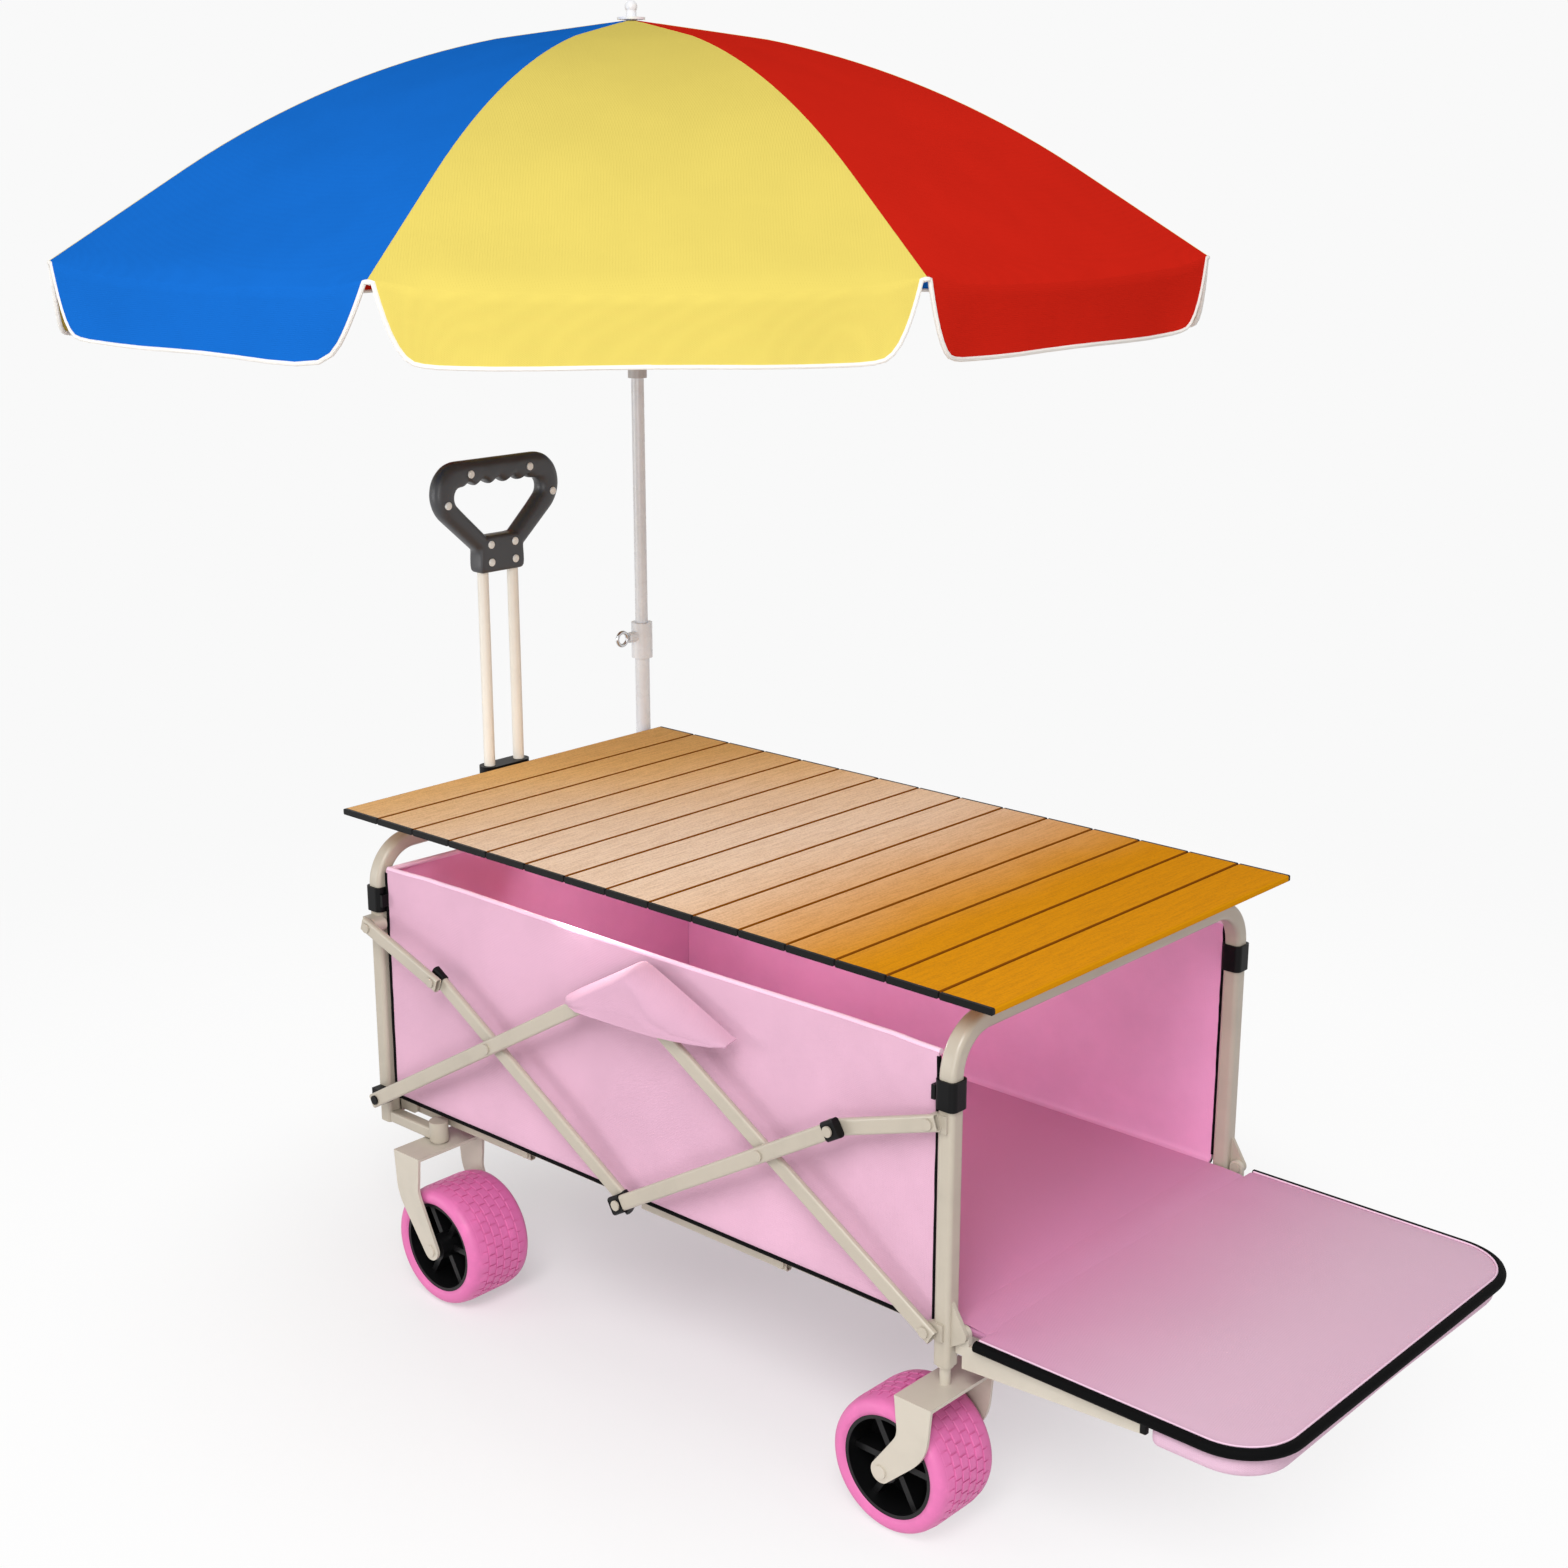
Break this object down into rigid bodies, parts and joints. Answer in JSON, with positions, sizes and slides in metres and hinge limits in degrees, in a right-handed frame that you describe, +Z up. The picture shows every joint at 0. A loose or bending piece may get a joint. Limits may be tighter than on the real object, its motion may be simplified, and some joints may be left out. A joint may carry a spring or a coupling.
{
  "type": "folding vending cart",
  "caption": "Folding hand wagon used as a vending cart, with scissor sides, fabric body, drop tailgate, slatted table top, telescopic pull handle, umbrella and swivel casters.",
  "frame": {"origin": "on the floor, under the middle of the four posts", "axes": "+X towards the tailgate, +Y towards the side that carries the umbrella pole, +Z up"},
  "size_m": [2.2363, 1.5516, 1.712],
  "materials": {
    "cream_paint": "satin",
    "white_paint": "gloss",
    "black_plastic": "satin",
    "grip_plastic": "matte",
    "grey_plastic": "satin",
    "steel": "brushed",
    "pink_tyre": "matte",
    "pink_fabric": "woven",
    "canopy_fabric": "woven",
    "tan_wood": "satin"
  },
  "bodies": {
    "front": {"front_frame": "cream_paint", "front_post_fittings": "black_plastic", "liner": "pink_fabric", "umbrella_lower_pole": "white_paint"},
    "front_outer_braces": {"front_outer_braces": "cream_paint", "brace_covers": "pink_fabric"},
    "front_inner_braces": {"front_inner_braces": "cream_paint", "front_brace_caps": "black_plastic"},
    "rear_inner_braces": {"rear_inner_braces": "cream_paint"},
    "rear_outer_braces": {"rear_outer_braces": "cream_paint", "rear_brace_caps": "black_plastic"},
    "rear": {"rear_frame": "cream_paint", "rear_post_clips": "black_plastic"},
    "front_links": {"front_links": "cream_paint"},
    "rear_links": {"rear_links": "cream_paint"},
    "front_rail_outer": {"front_rail_outer": "cream_paint"},
    "front_rail_inner": {"front_rail_inner": "cream_paint"},
    "rear_rail_outer": {"rear_rail_outer": "cream_paint"},
    "rear_rail_inner": {"rear_rail_inner": "cream_paint"},
    "tailgate": {"tailgate_panel": "pink_fabric", "tailgate_arms": "cream_paint"},
    "table": {"table_slats": "tan_wood", "slat_end_caps": "black_plastic", "table_rails": "cream_paint"},
    "handle": {"handle_tubes": "cream_paint", "handle_collar": "black_plastic"},
    "handle_rods": {"handle_rods": "cream_paint", "handle_grip": "grip_plastic"},
    "umbrella_mast": {"umbrella_upper_pole": "white_paint", "umbrella_canopy": "canopy_fabric"},
    "umbrella_runner": {"umbrella_runner": "grey_plastic"},
    "clamp_screw": {"clamp_screw": "steel"},
    "rib_1": {"umbrella_rib_1": "white_paint"},
    "stretcher_1": {"umbrella_stretcher_1": "white_paint"},
    "rib_2": {"umbrella_rib_2": "white_paint"},
    "stretcher_2": {"umbrella_stretcher_2": "white_paint"},
    "rib_3": {"umbrella_rib_3": "white_paint"},
    "stretcher_3": {"umbrella_stretcher_3": "white_paint"},
    "rib_4": {"umbrella_rib_4": "white_paint"},
    "stretcher_4": {"umbrella_stretcher_4": "white_paint"},
    "rib_5": {"umbrella_rib_5": "white_paint"},
    "stretcher_5": {"umbrella_stretcher_5": "white_paint"},
    "rib_6": {"umbrella_rib_6": "white_paint"},
    "stretcher_6": {"umbrella_stretcher_6": "white_paint"},
    "rib_7": {"umbrella_rib_7": "white_paint"},
    "stretcher_7": {"umbrella_stretcher_7": "white_paint"},
    "rib_8": {"umbrella_rib_8": "white_paint"},
    "stretcher_8": {"umbrella_stretcher_8": "white_paint"},
    "caster_front_left": {"caster_fork_front_left": "cream_paint"},
    "wheel_front_left": {"wheel_hub_front_left": "black_plastic", "tyre_front_left": "pink_tyre"},
    "caster_front_right": {"caster_fork_front_right": "cream_paint"},
    "wheel_front_right": {"wheel_hub_front_right": "black_plastic", "tyre_front_right": "pink_tyre"},
    "caster_rear_left": {"caster_fork_rear_left": "cream_paint"},
    "wheel_rear_left": {"wheel_hub_rear_left": "black_plastic", "tyre_rear_left": "pink_tyre"},
    "caster_rear_right": {"caster_fork_rear_right": "cream_paint"},
    "wheel_rear_right": {"wheel_hub_rear_right": "black_plastic", "tyre_rear_right": "pink_tyre"}
  },
  "joints": [
    {"name": "fold", "type": "hinge", "parent": "front", "child": "front_outer_braces", "pos_m": [-0.477, 0, 0.255], "axis": [0, -1, 0], "range_deg": [0, 39.07], "deforming": ["liner", "brace_covers"]},
    {"name": "front_crossing", "type": "hinge", "parent": "front_outer_braces", "child": "front_inner_braces", "pos_m": [-0.2385, 0, 0.3965], "axis": [0, -1, 0], "range_deg": [-78.14, 0]},
    {"name": "ridge", "type": "hinge", "parent": "front_outer_braces", "child": "rear_inner_braces", "pos_m": [0, 0, 0.538], "axis": [0, -1, 0], "range_deg": [-78.14, 0]},
    {"name": "rear_crossing", "type": "hinge", "parent": "rear_inner_braces", "child": "rear_outer_braces", "pos_m": [0.2385, 0, 0.3965], "axis": [0, -1, 0], "range_deg": [0, 78.14]},
    {"name": "rear_foot", "type": "hinge", "parent": "rear_inner_braces", "child": "rear", "pos_m": [0.477, 0, 0.255], "axis": [0, -1, 0], "range_deg": [0, 39.08]},
    {"name": "front_link_turn", "type": "hinge", "parent": "front", "child": "front_links", "pos_m": [-0.477, 0, 0.50459], "axis": [0, -1, 0], "range_deg": [0, 86.29]},
    {"name": "rear_link_turn", "type": "hinge", "parent": "rear", "child": "rear_links", "pos_m": [0.477, 0, 0.50459], "axis": [0, -1, 0], "range_deg": [-86.29, 0]},
    {"name": "front_rail_root", "type": "hinge", "parent": "front", "child": "front_rail_outer", "pos_m": [-0.455, 0, 0.236], "axis": [0, -1, 0], "range_deg": [0, 68.07]},
    {"name": "front_rail_knee", "type": "hinge", "parent": "front_rail_outer", "child": "front_rail_inner", "pos_m": [-0.2275, 0, 0.236], "axis": [0, -1, 0], "range_deg": [-136.13, 0]},
    {"name": "rear_rail_root", "type": "hinge", "parent": "rear", "child": "rear_rail_outer", "pos_m": [0.455, 0, 0.236], "axis": [0, -1, 0], "range_deg": [-68.07, 0]},
    {"name": "rear_rail_knee", "type": "hinge", "parent": "rear_rail_outer", "child": "rear_rail_inner", "pos_m": [0.2275, 0, 0.236], "axis": [0, -1, 0], "range_deg": [0, 136.13]},
    {"name": "tailgate_swing", "type": "hinge", "parent": "rear", "child": "tailgate", "pos_m": [0.5125, 0, 0.256], "axis": [0, -1, 0], "range_deg": [0, 90]},
    {"name": "table_lift", "type": "slide", "parent": "front", "child": "table", "axis": [0, 0, 1], "range_m": [0, 0.25]},
    {"name": "handle_tilt", "type": "hinge", "parent": "front", "child": "handle", "pos_m": [-0.56, 0, 0.257], "axis": [0, -1, 0], "range_deg": [0, 75]},
    {"name": "handle_reach", "type": "slide", "parent": "handle", "child": "handle_rods", "axis": [0, 0, -1], "range_m": [0, 0.25]},
    {"name": "clamp_turn", "type": "hinge", "parent": "front", "child": "clamp_screw", "pos_m": [-0.56, 0.282, 0.798], "axis": [0, -1, 0], "range_deg": [0, 360]},
    {"name": "umbrella_height", "type": "slide", "parent": "front", "child": "umbrella_mast", "axis": [0, 0, 1], "range_m": [-0.2, 0.1]},
    {"name": "umbrella_close", "type": "slide", "parent": "umbrella_mast", "child": "umbrella_runner", "axis": [0, 0, -1], "range_m": [0, 0.35623], "deforming": ["umbrella_canopy"]},
    {"name": "rib_1_turn", "type": "hinge", "parent": "umbrella_mast", "child": "rib_1", "pos_m": [-0.54127, 0.275, 1.674], "axis": [0.3502, 0.9367, 0], "range_deg": [0, 66.66]},
    {"name": "stretcher_1_turn", "type": "hinge", "parent": "umbrella_runner", "child": "stretcher_1", "pos_m": [-0.53694, 0.28085, 1.246], "axis": [-0.3502, -0.9367, 0], "range_deg": [0, 31.72]},
    {"name": "rib_2_turn", "type": "hinge", "parent": "umbrella_mast", "child": "rib_2", "pos_m": [-0.5418, 0.29029, 1.674], "axis": [-0.4147, 0.91, 0], "range_deg": [0, 66.66]},
    {"name": "stretcher_2_turn", "type": "hinge", "parent": "umbrella_runner", "child": "stretcher_2", "pos_m": [-0.54288, 0.29749, 1.246], "axis": [0.4147, -0.91, 0], "range_deg": [0, 31.72]},
    {"name": "rib_3_turn", "type": "hinge", "parent": "umbrella_mast", "child": "rib_3", "pos_m": [-0.553, 0.30073, 1.674], "axis": [-0.9367, 0.3502, 0], "range_deg": [0, 66.66]},
    {"name": "stretcher_3_turn", "type": "hinge", "parent": "umbrella_runner", "child": "stretcher_3", "pos_m": [-0.55885, 0.30506, 1.246], "axis": [0.9367, -0.3502, 0], "range_deg": [0, 31.72]},
    {"name": "rib_4_turn", "type": "hinge", "parent": "umbrella_mast", "child": "rib_4", "pos_m": [-0.56829, 0.3002, 1.674], "axis": [-0.91, -0.4147, 0], "range_deg": [0, 66.66]},
    {"name": "stretcher_4_turn", "type": "hinge", "parent": "umbrella_runner", "child": "stretcher_4", "pos_m": [-0.57549, 0.29912, 1.246], "axis": [0.91, 0.4147, 0], "range_deg": [0, 31.72]},
    {"name": "rib_5_turn", "type": "hinge", "parent": "umbrella_mast", "child": "rib_5", "pos_m": [-0.57873, 0.289, 1.674], "axis": [-0.3502, -0.9367, 0], "range_deg": [0, 66.66]},
    {"name": "stretcher_5_turn", "type": "hinge", "parent": "umbrella_runner", "child": "stretcher_5", "pos_m": [-0.58306, 0.28315, 1.246], "axis": [0.3502, 0.9367, 0], "range_deg": [0, 31.72]},
    {"name": "rib_6_turn", "type": "hinge", "parent": "umbrella_mast", "child": "rib_6", "pos_m": [-0.5782, 0.27371, 1.674], "axis": [0.4147, -0.91, 0], "range_deg": [0, 66.66]},
    {"name": "stretcher_6_turn", "type": "hinge", "parent": "umbrella_runner", "child": "stretcher_6", "pos_m": [-0.57712, 0.26651, 1.246], "axis": [-0.4147, 0.91, 0], "range_deg": [0, 31.72]},
    {"name": "rib_7_turn", "type": "hinge", "parent": "umbrella_mast", "child": "rib_7", "pos_m": [-0.567, 0.26327, 1.674], "axis": [0.9367, -0.3502, 0], "range_deg": [0, 66.66]},
    {"name": "stretcher_7_turn", "type": "hinge", "parent": "umbrella_runner", "child": "stretcher_7", "pos_m": [-0.56115, 0.25894, 1.246], "axis": [-0.9367, 0.3502, 0], "range_deg": [0, 31.72]},
    {"name": "rib_8_turn", "type": "hinge", "parent": "umbrella_mast", "child": "rib_8", "pos_m": [-0.55171, 0.2638, 1.674], "axis": [0.91, 0.4147, 0], "range_deg": [0, 66.66]},
    {"name": "stretcher_8_turn", "type": "hinge", "parent": "umbrella_runner", "child": "stretcher_8", "pos_m": [-0.54451, 0.26488, 1.246], "axis": [-0.91, -0.4147, 0], "range_deg": [0, 31.72]},
    {"name": "swivel_front_left", "type": "hinge", "parent": "front", "child": "caster_front_left", "pos_m": [-0.386, -0.288, 0.212], "axis": [0, 0, 1], "continuous": true},
    {"name": "roll_front_left", "type": "hinge", "parent": "caster_front_left", "child": "wheel_front_left", "pos_m": [-0.342, -0.288, 0.0825], "axis": [0, 1, 0], "continuous": true},
    {"name": "swivel_front_right", "type": "hinge", "parent": "front", "child": "caster_front_right", "pos_m": [-0.386, 0.288, 0.212], "axis": [0, 0, 1], "continuous": true},
    {"name": "roll_front_right", "type": "hinge", "parent": "caster_front_right", "child": "wheel_front_right", "pos_m": [-0.342, 0.288, 0.0825], "axis": [0, 1, 0], "continuous": true},
    {"name": "swivel_rear_left", "type": "hinge", "parent": "rear", "child": "caster_rear_left", "pos_m": [0.49, -0.288, 0.212], "axis": [0, 0, 1], "continuous": true},
    {"name": "roll_rear_left", "type": "hinge", "parent": "caster_rear_left", "child": "wheel_rear_left", "pos_m": [0.446, -0.288, 0.0825], "axis": [0, 1, 0], "continuous": true},
    {"name": "swivel_rear_right", "type": "hinge", "parent": "rear", "child": "caster_rear_right", "pos_m": [0.49, 0.288, 0.212], "axis": [0, 0, 1], "continuous": true},
    {"name": "roll_rear_right", "type": "hinge", "parent": "caster_rear_right", "child": "wheel_rear_right", "pos_m": [0.446, 0.288, 0.0825], "axis": [0, 1, 0], "continuous": true}
  ],
  "couplings": [
    {"joint": "front_crossing", "follows": "fold", "ratio": -2},
    {"joint": "ridge", "follows": "fold", "ratio": -2},
    {"joint": "rear_crossing", "follows": "fold", "ratio": 2},
    {"joint": "rear_foot", "follows": "fold", "ratio": 1},
    {"joint": "front_link_turn", "follows": "fold", "ratio": 2.2084},
    {"joint": "rear_link_turn", "follows": "fold", "ratio": -2.2084},
    {"joint": "front_rail_root", "follows": "fold", "ratio": 1.7422},
    {"joint": "front_rail_knee", "follows": "fold", "ratio": -3.4844},
    {"joint": "rear_rail_root", "follows": "fold", "ratio": -1.7422},
    {"joint": "rear_rail_knee", "follows": "fold", "ratio": 3.4844},
    {"joint": "rib_1_turn", "follows": "umbrella_close", "rad_per_m": 3.2655},
    {"joint": "stretcher_1_turn", "follows": "umbrella_close", "rad_per_m": 1.5537},
    {"joint": "rib_2_turn", "follows": "umbrella_close", "rad_per_m": 3.2655},
    {"joint": "stretcher_2_turn", "follows": "umbrella_close", "rad_per_m": 1.5537},
    {"joint": "rib_3_turn", "follows": "umbrella_close", "rad_per_m": 3.2655},
    {"joint": "stretcher_3_turn", "follows": "umbrella_close", "rad_per_m": 1.5537},
    {"joint": "rib_4_turn", "follows": "umbrella_close", "rad_per_m": 3.2655},
    {"joint": "stretcher_4_turn", "follows": "umbrella_close", "rad_per_m": 1.5537},
    {"joint": "rib_5_turn", "follows": "umbrella_close", "rad_per_m": 3.2655},
    {"joint": "stretcher_5_turn", "follows": "umbrella_close", "rad_per_m": 1.5537},
    {"joint": "rib_6_turn", "follows": "umbrella_close", "rad_per_m": 3.2655},
    {"joint": "stretcher_6_turn", "follows": "umbrella_close", "rad_per_m": 1.5537},
    {"joint": "rib_7_turn", "follows": "umbrella_close", "rad_per_m": 3.2655},
    {"joint": "stretcher_7_turn", "follows": "umbrella_close", "rad_per_m": 1.5537},
    {"joint": "rib_8_turn", "follows": "umbrella_close", "rad_per_m": 3.2655},
    {"joint": "stretcher_8_turn", "follows": "umbrella_close", "rad_per_m": 1.5537}
  ]
}
